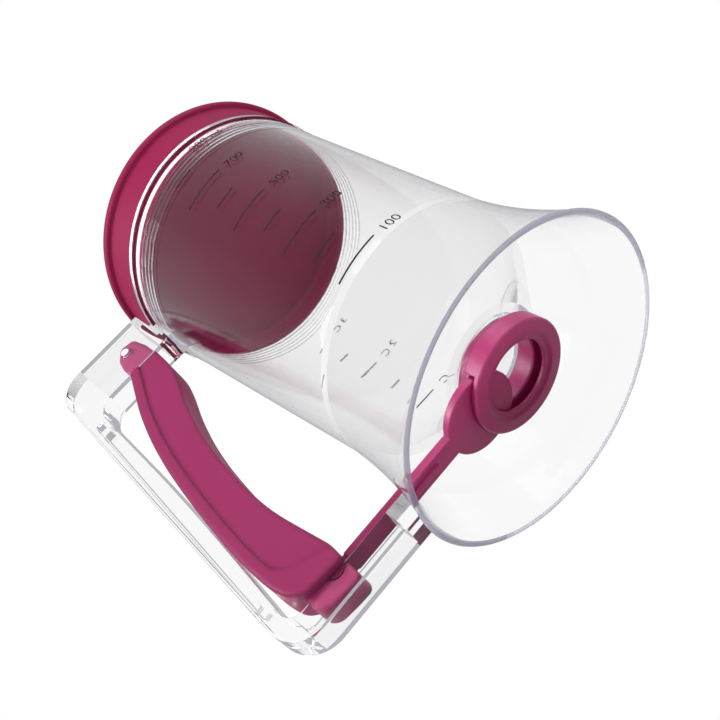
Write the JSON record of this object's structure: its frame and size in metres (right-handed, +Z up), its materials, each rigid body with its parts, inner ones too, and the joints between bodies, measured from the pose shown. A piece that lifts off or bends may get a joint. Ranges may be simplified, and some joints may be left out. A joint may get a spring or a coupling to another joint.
{
  "type": "batter dispenser",
  "caption": "Clear funnel-shaped batter container with a loop handle, squeeze trigger, sliding outlet valve and push-on lid.",
  "frame": {"origin": "centre of the skirt rim's stand plane, on the container's axis", "axes": "+Z up the container's axis from the outlet end to the lid, -X towards the handle, -Y the side with the volume scale"},
  "size_m": [0.161, 0.1124, 0.1813],
  "materials": {
    "clear_plastic": "clear moulded plastic, polished",
    "coloured_plastic": "magenta moulded plastic, semi-gloss",
    "seal": "pale silicone",
    "pin": "pale moulded plastic"
  },
  "bodies": {
    "container_body": {"container": "clear_plastic", "handle_frame": "clear_plastic", "nozzle_cap": "coloured_plastic", "pivot_pin": "pin", "valve_seat": "coloured_plastic"},
    "lid_body": {"lid": "coloured_plastic", "lid_seal": "seal"},
    "trigger_body": {"trigger": "coloured_plastic"},
    "valve_body": {"valve_slider": "coloured_plastic"}
  },
  "joints": [
    {"name": "trigger_pivot", "type": "hinge", "parent": "container_body", "child": "trigger_body", "pos_m": [-0.0686, 0, 0.1615], "axis": [0, -1, 0], "range_deg": [0, 6.2]},
    {"name": "valve_slide", "type": "slide", "parent": "container_body", "child": "valve_body", "axis": [1, 0, 0], "range_m": [0, 0.0163]},
    {"name": "lid_lift", "type": "slide", "parent": "container_body", "child": "lid_body", "axis": [0, 0, 1], "range_m": [0, 0.06]}
  ],
  "couplings": [
    {"joint": "valve_slide", "follows": "trigger_pivot", "m_per_rad": 0.1504}
  ]
}
